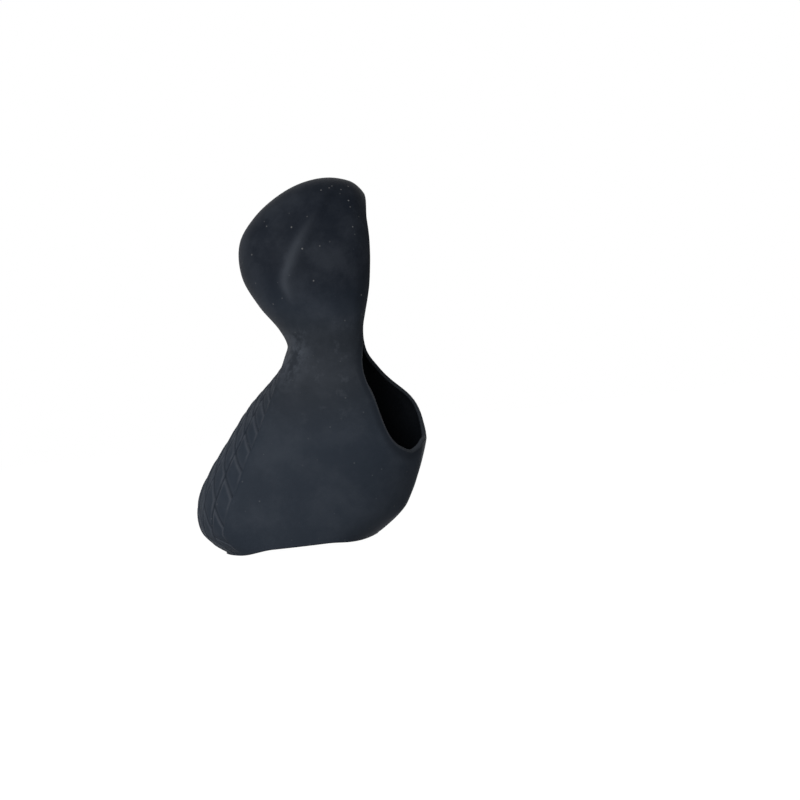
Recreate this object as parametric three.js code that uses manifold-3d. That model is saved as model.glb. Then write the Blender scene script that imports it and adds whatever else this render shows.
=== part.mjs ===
// Rubber hood of a bicycle brake lever, one moulded shell, in millimetres.
// +Z runs from the base edge up to the head, -X is the palm side, +X the side that is open to the
// lever, and the smooth side faces -Y. The hood stands on the flat part of its base edge at z = 0.
import * as THREE from "three";
import { mergeVertices } from "three/addons/utils/BufferGeometryUtils.js";
import Module from "manifold-3d";

// Widths across the hood, from side to side.
const headWidth = 35.2;
const neckWidth = 27.8;
const baseWidth = 34.6;
// How far the base leans to +Y off the head's middle plane.
const baseSway = 1.8;
const swayTurn = [0.45, 1];

// Rubber thickness over the body, and at the edge of the lever opening.
const wall = 1.9;
const openingEdge = 1.4;
const edgeRounding = 0.35;
// The rubber curls in along the head's opening edge: how deep, and over what width.
const lipDepth = 1.3;
const lipWidth = 5.5;
const lipFade = [0.42, 0.56];

// The base edge is flat from landBack to landFront along X, then rises as a parabola at both ends.
const landBack = -14.5;
const landFront = 15;
const backRise = 0.012;
const frontRise = 0.014;

// Corners of the sections are fuller than an ellipse by these shares.
const headFullness = 0.035;
const baseFullness = 0.05;
const fullnessStart = [0, 0.2];
const fullnessTurn = [0.5, 0.8];
// A soft crease parts the head's dome from its flatter sides. It starts and fades between these
// stations, and its path is given as a station and an angle from the palm's middle, in radians.
const creaseHeight = 0.4;
const creaseSpread = 0.12;
const creaseStart = [0.08, 0.16];
const creaseFade = [0.38, 0.48];
const creasePath = [
  [0.12, 1.54],
  [0.2, 1.44],
  [0.3, 1.29],
  [0.36, 1.18],
  [0.45, 1.22],
];

// Grip pattern: columns of slanted scales on the palm side, which grow towards the base.
const gripColumns = 8;
const firstScale = 2.2;
const scaleGrowth = 1.12;
const scaleSlant = 1.7;
const grooveWidth = 0.8;
const gripRelief = 0.45;
const gripRecess = 0.3;
const gripRoot = 0.6;
const gripMargin = 1.5;
const smallestScale = 1.3;
// Raised scales start at this station; above it the pattern fades into fine lines.
const scalesFrom = 0.6;

// Mesh fineness: columns round the hood, and rows from the lever opening to the base edge, which
// crowd towards the opening.
const columns = 72;
const outerRows = 28;
const innerRows = 18;
const rowCrowding = 1.35;
// Columns leave both edges straight for this share of their length, and lean towards the strap by
// this share of a half turn. The edge's direction is measured over this share of a turn each way.
const columnReach = 0.25;
const columnLead = 0.06;
const edgeTurn = 1 / 24;
// The wall's thickness turns level over this last share of a column, so that the base edge is flat.
const levelFrom = 0.8;
// Steps of the bisections and of the curve through the opening's edge, and the weld distance.
const bisections = 40;
const edgeSteps = 600;
const tolerance = 0.01;

// Side outline of the closed form that the hood is cut from, as [x, z] at stations along the hood:
// 0 is the top of the head and 1 the base edge. The underside is partly cut away by the opening.
const stations = [
  { along: 0, palm: [20.1, 101.5], under: [20.1, 101.5] },
  { along: 0.061, palm: [12.4, 101.1], under: [27.3, 98.7] },
  { along: 0.126, palm: [5.0, 98.3], under: [32.5, 93.3] },
  { along: 0.2, palm: [-2.4, 93.0], under: [35.3, 84.7] },
  { along: 0.27, palm: [-7.5, 86.0], under: [35.2, 76.3] },
  { along: 0.345, palm: [-7.9, 76.7], under: [32.9, 68.7] },
  { along: 0.42, palm: [-4.1, 68.1], under: [29.9, 62.0] },
  { along: 0.493, palm: [1.0, 60.5], under: [27.9, 56.6] },
  { along: 0.538, palm: [2.5, 55.2], under: [28.0, 51.8] },
  { along: 0.595, palm: [-1.4, 49.2], under: [31.6, 47.4] },
  { along: 0.687, palm: [-9.4, 41.1], under: [40.1, 38.5] },
  { along: 0.78, palm: [-16.6, 32.0], under: [38.8, 28.6] },
  { along: 0.87, palm: [-23.3, 23.2], under: [36.0, 19.6] },
  { along: 0.937, palm: [-27.2, 15.8], under: [31.9, 10.7] },
  { along: 1, palm: [-27.4, 7.9], under: [29.0, 6.8] },
  { along: 1.07, palm: [-24.3, 3.3], under: [23.4, 2.6] },
  { along: 1.14, palm: [-18.6, -0.9], under: [16.8, -1.1] },
];

// Half widths at the stations: shares of the head's, then of the way to the neck's and the base's.
const widthStations = [
  [0, 0],
  [0.061, (headWidth / 2) * 0.46],
  [0.126, (headWidth / 2) * 0.73],
  [0.2, (headWidth / 2) * 0.9],
  [0.27, (headWidth / 2) * 0.985],
  [0.345, headWidth / 2],
  [0.42, THREE.MathUtils.lerp(neckWidth, headWidth, 0.65) / 2],
  [0.493, THREE.MathUtils.lerp(neckWidth, headWidth, 0.19) / 2],
  [0.538, neckWidth / 2],
  [0.595, THREE.MathUtils.lerp(neckWidth, baseWidth, 0.1) / 2],
  [0.687, THREE.MathUtils.lerp(neckWidth, baseWidth, 0.44) / 2],
  [0.78, THREE.MathUtils.lerp(neckWidth, baseWidth, 0.68) / 2],
  [0.87, THREE.MathUtils.lerp(neckWidth, baseWidth, 0.84) / 2],
  [0.937, THREE.MathUtils.lerp(neckWidth, baseWidth, 0.94) / 2],
  [1, baseWidth / 2],
  [1.07, (baseWidth / 2) * 0.99],
  [1.14, (baseWidth / 2) * 0.98],
];

// Edge of the lever opening in side view, as [x, z], from the arch over the head to the strap.
const archTop = [29.5, 97.0];
const smoothSideEdge = [
  [29.6, 92.0],
  [29.4, 86.0],
  [28.9, 76.0],
  [27.8, 68.5],
  [25.7, 60.8],
  [23.8, 54.4],
  [22.8, 49.0],
  [23.8, 42.5],
  [25.6, 36.0],
  [27.3, 29.8],
  [29.3, 25.8],
  [32.0, 23.7],
  [35.0, 23.3],
];
const gripSideEdge = [
  [29.3, 92.0],
  [28.9, 86.0],
  [28.3, 76.4],
  [26.9, 67.7],
  [24.9, 60.3],
  [24.0, 55.2],
  [26.0, 49.2],
  [30.3, 43.7],
  [34.0, 40.0],
  [36.3, 36.6],
  [37.5, 33.0],
  [38.1, 29.2],
];
const strapTop = [38.0, 25.5];

// Edges of the grip pattern, as angles in degrees from the palm's middle, + towards +Y.
const gripEdges = [
  [0.475, 64, 75],
  [0.51, 36, 76],
  [0.54, 4, 76],
  [0.57, -18, 74],
  [0.6, -29, 73],
  [0.66, -40, 72],
  [0.74, -46, 68],
  [0.84, -50, 61],
  [0.92, -52, 55],
  [1.02, -44, 52],
];

// A smooth curve through values (numbers or arrays) at rising knots.
function through(knots, values) {
  const vectors = values.map((value) => [value].flat());
  const slope = (i, k) => {
    const a = Math.max(i - 1, 0);
    const b = Math.min(i + 1, knots.length - 1);
    return (vectors[b][k] - vectors[a][k]) / (knots[b] - knots[a]);
  };
  return (at) => {
    let i = 0;
    while (i < knots.length - 2 && at > knots[i + 1]) i += 1;
    const span = knots[i + 1] - knots[i];
    const t = clamp((at - knots[i]) / span, 0, 1);
    const t2 = t * t;
    const t3 = t2 * t;
    return vectors[i].map((from, k) => {
      const to = vectors[i + 1][k];
      const rise = (2 * t3 - 3 * t2 + 1) * from + (3 * t2 - 2 * t3) * to;
      return rise + span * ((t3 - 2 * t2 + t) * slope(i, k) + (t3 - t2) * slope(i + 1, k));
    });
  };
}

const lastStation = stations[stations.length - 1].along;
const mirrored = [...stations].reverse().slice(0, -1);
const outlineKnots = [...mirrored.map((s) => -s.along), ...stations.map((s) => s.along)];
const outlinePoints = [...mirrored.map((s) => s.under), ...stations.map((s) => s.palm)];
// The outline as one line from the underside (below 0) over the head's top (0) to the palm side.
const outline = through(outlineKnots, outlinePoints);
const narrower = [...widthStations].reverse().slice(0, -1).map(([at, half]) => [-at, -half]);
const widths = [...narrower, ...widthStations];
// Half the width, which turns negative below station 0 so that the head's top comes out round.
const halfWidth = through(widths.map((w) => w[0]), widths.map((w) => w[1]));
const gripKnots = gripEdges.map((edge) => edge[0]);
const gripFrom = through(gripKnots, gripEdges.map((edge) => THREE.MathUtils.degToRad(edge[1])));
const gripTo = through(gripKnots, gripEdges.map((edge) => THREE.MathUtils.degToRad(edge[2])));
const gripStart = gripKnots[0];
const creaseMiddle = through(creasePath.map((at) => at[0]), creasePath.map((at) => at[1]));

const { clamp, lerp, smoothstep: smooth } = THREE.MathUtils;

// How much fuller than an ellipse the section is at a station and an angle.
function fullness(along, angle) {
  const share = lerp(headFullness, baseFullness, smooth(along, ...fullnessTurn));
  return 1 + smooth(along, ...fullnessStart) * share * Math.sin(2 * angle) ** 2;
}

// Height of the crease, which runs down both sides of the head and fades out before the neck.
function crease(along, angle) {
  const middle = creaseMiddle(along)[0];
  const fade = smooth(along, ...creaseStart) * (1 - smooth(along, ...creaseFade));
  const off = (Math.abs(angle) - middle) / creaseSpread;
  return creaseHeight * fade * Math.exp(-off * off);
}

// A point of the closed form. The place (p, q) is polar: its radius is the station along the hood,
// and its angle turns from the palm's middle (p > 0) over +Y (q > 0) to the underside (p < 0).
function formPoint(p, q) {
  const along = Math.hypot(p, q);
  const angle = Math.atan2(q, p);
  const palm = outline(along);
  const under = outline(-along);
  const scale = fullness(along, angle);
  const x = (palm[0] + under[0]) / 2 + ((palm[0] - under[0]) / 2) * Math.cos(angle) * scale;
  const z = (palm[1] + under[1]) / 2 + ((palm[1] - under[1]) / 2) * Math.cos(angle) * scale;
  const sway = baseSway * smooth(along, ...swayTurn);
  return new THREE.Vector3(x, sway + halfWidth(along)[0] * Math.sin(angle) * scale, z);
}

function formNormal(p, q) {
  const step = 0.004;
  const alongP = formPoint(p + step, q).sub(formPoint(p - step, q));
  const alongQ = formPoint(p, q + step).sub(formPoint(p, q - step));
  return alongQ.cross(alongP).normalize();
}

// The place on the form whose side view is [x, z], on the side given by sign (+1 is +Y).
function placeOf([x, z], sign) {
  let low = 0.02;
  let high = lastStation;
  for (let i = 0; i < bisections; i += 1) {
    const middle = (low + high) / 2;
    const palm = outline(middle);
    const under = outline(-middle);
    const cross = (under[0] - palm[0]) * (z - palm[1]) - (under[1] - palm[1]) * (x - palm[0]);
    if (cross > 0) high = middle;
    else low = middle;
  }
  const palm = outline(low);
  const under = outline(-low);
  const share = (x - (palm[0] + under[0]) / 2) / ((palm[0] - under[0]) / 2);
  let angle = Math.PI / 2;
  for (let i = 0; i < 12; i += 1) {
    angle = Math.acos(clamp(share / fullness(low, angle), -1, 1));
  }
  return new THREE.Vector2(low * Math.cos(angle), sign * low * Math.sin(angle));
}

// Height of the base edge over x.
function edgeHeight(x) {
  if (x < landBack) return backRise * (landBack - x) ** 2;
  return frontRise * Math.max(x - landFront, 0) ** 2;
}

// The place where the form meets the base edge at an angle.
function basePlace(angle) {
  let low = 0.85;
  let high = lastStation;
  for (let i = 0; i < bisections; i += 1) {
    const middle = (low + high) / 2;
    const point = formPoint(middle * Math.cos(angle), middle * Math.sin(angle));
    if (point.z > edgeHeight(point.x)) low = middle;
    else high = middle;
  }
  return new THREE.Vector2(low * Math.cos(angle), low * Math.sin(angle));
}

// The opening's edge as a closed curve of places, from the arch's top over +Y and back over -Y.
function openingEdgePlaces(count) {
  const top = placeOf(archTop, 1).setY(0);
  top.x = -Math.abs(top.x);
  const strap = placeOf(strapTop, 1).setY(0);
  strap.x = -Math.abs(strap.x);
  const far = gripSideEdge.map((point) => placeOf(point, 1));
  const near = smoothSideEdge.map((point) => placeOf(point, -1)).reverse();
  const curve = new THREE.SplineCurve([top, ...far, strap, ...near, top]);
  const fine = curve.getPoints(edgeSteps);
  const lengths = [0];
  let half = 0;
  for (let i = 1; i < fine.length; i += 1) {
    const step = formPoint(fine[i].x, fine[i].y).distanceTo(formPoint(fine[i - 1].x, fine[i - 1].y));
    lengths.push(lengths[i - 1] + step);
    if (!half && fine[i].y <= 0) half = i;
  }
  const total = lengths[lengths.length - 1];
  const places = [];
  for (let j = 0; j < count; j += 1) {
    const turn = (2 * j) / count;
    const lead = columnLead * Math.sin(Math.PI * turn);
    const goal =
      turn < 1
        ? (turn + lead) * lengths[half]
        : total - (2 - turn - lead) * (total - lengths[half]);
    let i = 1;
    while (i < lengths.length - 1 && lengths[i] < goal) i += 1;
    const share = (goal - lengths[i - 1]) / (lengths[i] - lengths[i - 1]);
    places.push(fine[i - 1].clone().lerp(fine[i], clamp(share, 0, 1)));
  }
  return places;
}

const openingPlaces = openingEdgePlaces(columns);
const edgeStep = Math.round(columns * edgeTurn);
const basePlaces = openingPlaces.map((_, j) => basePlace((2 * Math.PI * j) / columns));

// A column of the mesh, as a curve of places that leaves the opening's edge and meets the base edge
// at right angles.
function columnCurve(j) {
  const from = openingPlaces[j];
  const to = basePlaces[j];
  const before = openingPlaces[(j + columns - edgeStep) % columns];
  const after = openingPlaces[(j + edgeStep) % columns];
  const outward = new THREE.Vector2(after.y - before.y, before.x - after.x).normalize();
  const reach = from.distanceTo(to) * columnReach;
  const leave = from.clone().addScaledVector(outward, reach);
  const arrive = to.clone().multiplyScalar(1 - reach / to.length());
  return new THREE.CubicBezierCurve(from, leave, arrive, to);
}

// How far a place is inside the grip pattern, from 0 at its edges to 1.
function gripMask(along, angle) {
  const across = halfWidth(along)[0];
  const fromEdge = (angle - gripFrom(along)[0]) * across;
  const toEdge = (gripTo(along)[0] - angle) * across;
  const ends = smooth(along, gripStart, gripStart + 0.03);
  return ends * smooth(fromEdge, 0, gripMargin) * smooth(toEdge, 0, gripMargin);
}

// Surface point with its normal: the form with its crease and the recess of the grip pattern.
function surfaceAt(place) {
  const along = place.length();
  const angle = Math.atan2(place.y, place.x);
  const normal = formNormal(place.x, place.y);
  const lift = crease(along, angle) - gripRecess * gripMask(along, angle);
  return { point: formPoint(place.x, place.y).addScaledVector(normal, lift), normal, along };
}

// Level direction into the hood, for the base edge, which stays flat.
function levelInward(normal) {
  return new THREE.Vector3(-normal.x, -normal.y, 0).normalize();
}

const columnCurves = openingPlaces.map((_, j) => columnCurve(j));

// One column of the wall: its outer and inner points, from the opening's edge to the base edge.
function wallColumn(j, rows) {
  const outer = [];
  const inner = [];
  let fromEdge = 0;
  for (let i = 0; i <= rows; i += 1) {
    const share = (i / rows) ** rowCrowding;
    const { point, normal, along } = surfaceAt(columnCurves[j].getPoint(share));
    if (i > 0) fromEdge += point.distanceTo(outer[i - 1].bare);
    const curl = Math.max(1 - fromEdge / lipWidth, 0) ** 1.5 * (1 - smooth(along, ...lipFade));
    const thickness = lerp(openingEdge, wall, smooth(fromEdge, 0, lipWidth));
    const level = smooth(share, levelFrom, 1);
    const inward = normal.clone().negate().lerp(levelInward(normal), level).normalize();
    const skin = point.clone().addScaledVector(normal, -lipDepth * curl);
    outer.push({ bare: point, skin });
    inner.push(skin.clone().addScaledVector(inward, thickness));
  }
  return { outer: outer.map((o) => o.skin), inner };
}

// Rows of points that run round the whole wall: up its outside, over both edges and down its inside.
function wallRows() {
  const outside = columnCurves.map((_, j) => wallColumn(j, outerRows));
  const inside = columnCurves.map((_, j) => wallColumn(j, innerRows));
  const rows = [];
  for (let i = 0; i < outerRows; i += 1) rows.push(outside.map((column) => column.outer[i]));
  const up = new THREE.Vector3(0, 0, edgeRounding);
  const baseOuter = outside.map((column) => column.outer[outerRows]);
  const baseInner = inside.map((column) => column.inner[innerRows]);
  const across = baseOuter.map((point, j) => baseInner[j].clone().sub(point).setLength(edgeRounding));
  rows.push(baseOuter.map((point) => point.clone().add(up)));
  rows.push(baseOuter.map((point, j) => point.clone().add(across[j])));
  rows.push(baseInner.map((point, j) => point.clone().sub(across[j])));
  rows.push(baseInner.map((point) => point.clone().add(up)));
  for (let i = innerRows - 1; i >= 0; i -= 1) rows.push(inside.map((column) => column.inner[i]));
  rows.push(
    outside.map((column) => {
      const away = column.outer[0].clone().sub(column.outer[1]).setLength(edgeRounding);
      return column.outer[0].clone().add(column.inner[0]).divideScalar(2).add(away);
    }),
  );
  return rows;
}

// A ring-shaped mesh through rows that close on themselves both ways. Each four-sided cell is split
// along its shorter diagonal.
function ringGeometry(rows) {
  const points = rows.flat();
  const positions = points.flatMap((point) => [point.x, point.y, point.z]);
  const index = [];
  for (let i = 0; i < rows.length; i += 1) {
    for (let j = 0; j < columns; j += 1) {
      const a = i * columns + j;
      const b = ((i + 1) % rows.length) * columns + j;
      const c = ((i + 1) % rows.length) * columns + ((j + 1) % columns);
      const d = i * columns + ((j + 1) % columns);
      const throughA = points[a].distanceTo(points[c]) < points[b].distanceTo(points[d]);
      index.push(...(throughA ? [a, c, b, a, d, c] : [a, d, b, b, d, c]));
    }
  }
  const geometry = new THREE.BufferGeometry();
  geometry.setAttribute("position", new THREE.Float32BufferAttribute(positions, 3));
  geometry.setIndex(index);
  return geometry;
}

// Length of the palm line from the grip pattern's tip to the base, for one station.
function palmRun() {
  const steps = 60;
  let length = 0;
  for (let i = 0; i < steps; i += 1) {
    const from = new THREE.Vector2(...outline(gripStart + ((1 - gripStart) * i) / steps));
    const to = new THREE.Vector2(...outline(gripStart + ((1 - gripStart) * (i + 1)) / steps));
    length += from.distanceTo(to);
  }
  return length / (1 - gripStart);
}

const run = palmRun();

// Distance down the palm from the tip to the top of a row of scales.
function rowStart(row) {
  return (firstScale * (scaleGrowth ** row - 1)) / (scaleGrowth - 1);
}

// Corners and middles of a scale's two sides, as its side and its share of the way down.
const scaleCorners = [[0, 0], [0, 1 / 2], [0, 1], [1, 1], [1, 1 / 2], [1, 0]];

// A raised scale between two distances down the palm, in one column of the grip pattern.
function scaleGeometry(column, top, bottom) {
  const alongMiddle = gripStart + (top + bottom) / 2 / run;
  const spread = gripTo(alongMiddle)[0] - gripFrom(alongMiddle)[0];
  const width = (halfWidth(alongMiddle)[0] * spread) / gripColumns;
  if (width < smallestScale) return null;
  const gap = grooveWidth / 2 / width;
  const height = bottom - top - grooveWidth;
  const outlineOf = [];
  for (const [side, drop] of scaleCorners) {
    const share = side ? 1 - gap : gap;
    const down = top + grooveWidth / 2 + drop * height - scaleSlant * width * (share - 1 / 2);
    const along = gripStart + down / run;
    const angle = lerp(gripFrom(along)[0], gripTo(along)[0], (column + share) / gripColumns);
    const edge = basePlace(angle).length() - gripMargin / run;
    if (along < scalesFrom || along > edge) return null;
    outlineOf.push(new THREE.Vector2(along * Math.cos(angle), along * Math.sin(angle)));
  }
  const positions = [];
  for (const lift of [-gripRecess - gripRoot, gripRelief - gripRecess]) {
    for (const place of outlineOf) {
      const { x, y, z } = formPoint(place.x, place.y).addScaledVector(formNormal(place.x, place.y), lift);
      positions.push(x, y, z);
    }
  }
  const index = [];
  const count = outlineOf.length;
  const caps = [[0, 1, 4], [0, 4, 5], [1, 2, 3], [1, 3, 4]];
  for (const [a, b, c] of caps) {
    index.push(a, b, c);
    index.push(a + count, c + count, b + count);
  }
  for (let i = 0; i < count; i += 1) {
    const next = (i + 1) % count;
    index.push(i, next + count, next, i, i + count, next + count);
  }
  const geometry = new THREE.BufferGeometry();
  geometry.setAttribute("position", new THREE.Float32BufferAttribute(positions, 3));
  geometry.setIndex(index);
  return geometry;
}

function scales() {
  const found = [];
  for (let column = 0; column < gripColumns; column += 1) {
    for (let row = 0; rowStart(row) < run; row += 1) {
      const scale = scaleGeometry(column, rowStart(row), rowStart(row + 1));
      if (scale) found.push(scale);
    }
  }
  return found;
}

const wasm = await Module();
wasm.setup();

function solid(geometry) {
  const merged = mergeVertices(geometry, 1e-5);
  const vertProperties = merged.getAttribute("position").array;
  const triVerts = new Uint32Array(merged.index.array);
  return new wasm.Manifold(new wasm.Mesh({ numProp: 3, vertProperties, triVerts, tolerance }));
}

function geometryOf(body) {
  const { vertProperties, triVerts } = body.getMesh();
  const geometry = new THREE.BufferGeometry();
  geometry.setAttribute("position", new THREE.BufferAttribute(new Float32Array(vertProperties), 3));
  geometry.setIndex(new THREE.BufferAttribute(new Uint32Array(triVerts), 1));
  return geometry;
}

const shell = solid(ringGeometry(wallRows()));
const hoodBody = wasm.Manifold.union([shell, ...scales().map(solid)]);
const hoodGeometry = geometryOf(hoodBody);

// The origin lies under the middle of the hood's box, at the height of the base edge's flat part.
hoodGeometry.computeBoundingBox();
const middle = hoodGeometry.boundingBox.getCenter(new THREE.Vector3());
hoodGeometry.translate(-middle.x, -middle.y, -hoodGeometry.boundingBox.min.z);

const rubber = new THREE.MeshStandardMaterial({ color: 0x2c3138, roughness: 0.62, metalness: 0 });
const hood = new THREE.Mesh(hoodGeometry, rubber);
hood.name = "hood_shell";

const group = new THREE.Group();
group.add(hood);
export default group;
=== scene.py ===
"""Rubber hood of a bicycle brake lever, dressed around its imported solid.

The hood is one moulded skin: an outer and an inner surface that meet in rounded edges at the lever
opening and at the base. Its shape is worked out in millimetres and made in metres. +Z runs from the
base edge to the head, -X is the palm side, +X is open to the lever and the smooth side faces -Y.
"""

import bpy
import numpy as np
from mathutils import Matrix, Vector


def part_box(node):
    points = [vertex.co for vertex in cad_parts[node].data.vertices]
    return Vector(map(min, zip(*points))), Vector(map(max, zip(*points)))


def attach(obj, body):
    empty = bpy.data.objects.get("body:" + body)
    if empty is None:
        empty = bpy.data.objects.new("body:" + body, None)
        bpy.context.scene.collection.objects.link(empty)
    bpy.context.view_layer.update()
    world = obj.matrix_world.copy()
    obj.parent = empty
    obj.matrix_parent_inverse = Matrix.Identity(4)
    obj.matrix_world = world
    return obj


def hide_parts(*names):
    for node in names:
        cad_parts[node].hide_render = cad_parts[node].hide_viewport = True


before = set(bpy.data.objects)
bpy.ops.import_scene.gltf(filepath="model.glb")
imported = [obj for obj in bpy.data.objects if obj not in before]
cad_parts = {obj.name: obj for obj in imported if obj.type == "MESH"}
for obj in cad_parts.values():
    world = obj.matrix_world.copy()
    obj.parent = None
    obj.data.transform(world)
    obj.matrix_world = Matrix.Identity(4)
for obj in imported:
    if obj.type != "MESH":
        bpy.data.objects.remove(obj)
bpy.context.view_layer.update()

bl_info = {
    "name": "Brake lever hood",
    "version": (1, 0, 0),
    "blender": (4, 5, 0),
    "location": "3D View > Sidebar > Lever hood",
    "description": "Makes a moulded rubber brake lever hood and a plain studio for it",
    "category": "Object",
}

MM = 0.001
cad_low, cad_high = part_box("hood_shell")

# Side outline of the closed form that the hood is cut from: station along the hood, then x and z
# on the palm side, then x and z on the underside. Station 0 is the head's top and 1 the base edge.
STATIONS = [
    (0.0, 20.1, 101.5, 20.1, 101.5),
    (0.061, 12.4, 101.1, 27.3, 98.7),
    (0.126, 5.0, 98.3, 32.5, 93.3),
    (0.2, -2.4, 93.0, 35.3, 84.7),
    (0.27, -7.5, 86.0, 35.2, 76.3),
    (0.345, -7.9, 76.7, 32.9, 68.7),
    (0.42, -4.1, 68.1, 29.9, 62.0),
    (0.493, 1.0, 60.5, 27.9, 56.6),
    (0.538, 2.5, 55.2, 28.0, 51.8),
    (0.595, -1.4, 49.2, 31.6, 47.4),
    (0.687, -9.4, 41.1, 40.1, 38.5),
    (0.78, -16.6, 32.0, 38.8, 28.6),
    (0.87, -23.3, 23.2, 36.0, 19.6),
    (0.937, -27.2, 15.8, 31.9, 10.7),
    (1.0, -27.4, 7.9, 29.0, 6.8),
    (1.07, -24.3, 3.3, 23.4, 2.6),
    (1.14, -18.6, -0.9, 16.8, -1.1),
]
LAST_STATION = STATIONS[-1][0]

# Widths at the stations: a share of the head's width, or of the way from the neck's to another.
HEAD_SHARES = [(0.0, 0.0), (0.061, 0.46), (0.126, 0.73), (0.2, 0.9), (0.27, 0.985), (0.345, 1.0)]
NECK_TO_HEAD = [(0.42, 0.65), (0.493, 0.19), (0.538, 0.0)]
NECK_TO_BASE = [(0.595, 0.1), (0.687, 0.44), (0.78, 0.68), (0.87, 0.84), (0.937, 0.94), (1.0, 1.0)]
BELOW_BASE = [(1.07, 0.99), (1.14, 0.98)]

# Edge of the lever opening in side view, as x and z, from the arch over the head to the strap.
ARCH_TOP = (29.5, 97.0)
SMOOTH_SIDE_EDGE = [
    (29.6, 92.0),
    (29.4, 86.0),
    (28.9, 76.0),
    (27.8, 68.5),
    (25.7, 60.8),
    (23.8, 54.4),
    (22.8, 49.0),
    (23.8, 42.5),
    (25.6, 36.0),
    (27.3, 29.8),
    (29.3, 25.8),
    (32.0, 23.7),
    (35.0, 23.3),
]
GRIP_SIDE_EDGE = [
    (29.3, 92.0),
    (28.9, 86.0),
    (28.3, 76.4),
    (26.9, 67.7),
    (24.9, 60.3),
    (24.0, 55.2),
    (26.0, 49.2),
    (30.3, 43.7),
    (34.0, 40.0),
    (36.3, 36.6),
    (37.5, 33.0),
    (38.1, 29.2),
]
STRAP_TOP = (38.0, 25.5)

# Edges of the grip pattern: station, then the angle from the palm's middle, + towards +Y.
GRIP_EDGES = [
    (0.475, 64, 75),
    (0.51, 36, 76),
    (0.54, 4, 76),
    (0.57, -18, 74),
    (0.6, -29, 73),
    (0.66, -40, 72),
    (0.74, -46, 68),
    (0.84, -50, 61),
    (0.92, -52, 55),
    (1.02, -44, 52),
]
GRIP_START = GRIP_EDGES[0][0]

# The crease on the head's sides: station, then the angle from the palm's middle, in radians.
CREASE_PATH = [(0.12, 1.54), (0.2, 1.44), (0.3, 1.29), (0.36, 1.18), (0.45, 1.22)]
# The corner where the smooth side turns into the strap, in the same way.
STRAP_CORNER_PATH = [(0.8, -2.72), (0.85, -2.8), (0.91, -2.88), (0.94, -2.84), (1.0, -2.78)]

# Stretches of stations over which a form comes in or goes out.
FULLNESS_START, FULLNESS_TURN = (0.0, 0.2), (0.5, 0.8)
SWAY_TURN = (0.45, 1.0)
CREASE_START, CREASE_END = (0.08, 0.16), (0.38, 0.48)
STRAP_CORNER_START, STRAP_CORNER_END = (0.78, 0.85), (0.98, 1.04)
SHOULDER_START, RIDGE_START, RELIEF_END = (0.5, 0.56), (0.58, 0.72), (0.97, 1.05)
LIP_END = (0.42, 0.56)
TIP_END = (0.575, 0.615)

# Stretches in millimetres: beside the grip's upper edge, and along and across the base edge.
SHOULDER_RISE, SHOULDER_FALL = (-0.4, 0.3), (0.3, 5.0)
TIP_FALL = (4.5, 6.0)
SIDE_RISE_START, SIDE_RISE_END, SIDE_RISE_ACROSS = (-17.0, -7.0), (8.0, 20.0), (3.0, 9.0)

# Angles between which the smooth side beside the grip pattern gets a lighter patch.
PATCH_SIDE_START, PATCH_SIDE_END = (-1.25, -0.75), (-0.4, 0.2)


def smooth(value, low, high):
    """Rises smoothly from 0 to 1 as the value goes from low to high."""
    t = np.clip((value - low) / (high - low), 0.0, 1.0)
    return t * t * (3.0 - 2.0 * t)


def hill(value, rise, fall):
    """Rises from 0 to 1 over one stretch of the value and falls back over another."""
    return smooth(value, *rise) * (1.0 - smooth(value, *fall))


def mixed(a, b, share):
    """The value a given share of the way from a to b."""
    return a + (b - a) * share


def unit(vectors):
    """Vectors of length 1 in the same directions."""
    return vectors / np.maximum(np.linalg.norm(vectors, axis=-1, keepdims=True), 1e-12)


class SmoothLine:
    """A smooth curve through rows of a rising knot and its values."""

    def __init__(self, rows):
        self.knots = np.array([row[0] for row in rows], float)
        self.values = np.array([row[1:] for row in rows], float)
        before = np.maximum(np.arange(len(rows)) - 1, 0)
        after = np.minimum(np.arange(len(rows)) + 1, len(rows) - 1)
        rise = self.values[after] - self.values[before]
        self.slopes = rise / (self.knots[after] - self.knots[before])[:, None]

    def __call__(self, at):
        at = np.asarray(at, float)
        i = np.clip(np.searchsorted(self.knots, at, side="right") - 1, 0, len(self.knots) - 2)
        span = (self.knots[i + 1] - self.knots[i])[..., None]
        t = np.clip((at - self.knots[i])[..., None] / span, 0.0, 1.0)
        ends = (2 * t**3 - 3 * t**2 + 1) * self.values[i] + (3 * t**2 - 2 * t**3) * self.values[i + 1]
        slopes = (t**3 - 2 * t**2 + t) * self.slopes[i] + (t**3 - t**2) * self.slopes[i + 1]
        return ends + span * slopes


def both_ways(rows, rows_below):
    """Rows carried on below 0 by other rows, whose knots count downwards."""
    return [(-row[0], *row[1:]) for row in reversed(rows_below[1:])] + list(rows)


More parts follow.
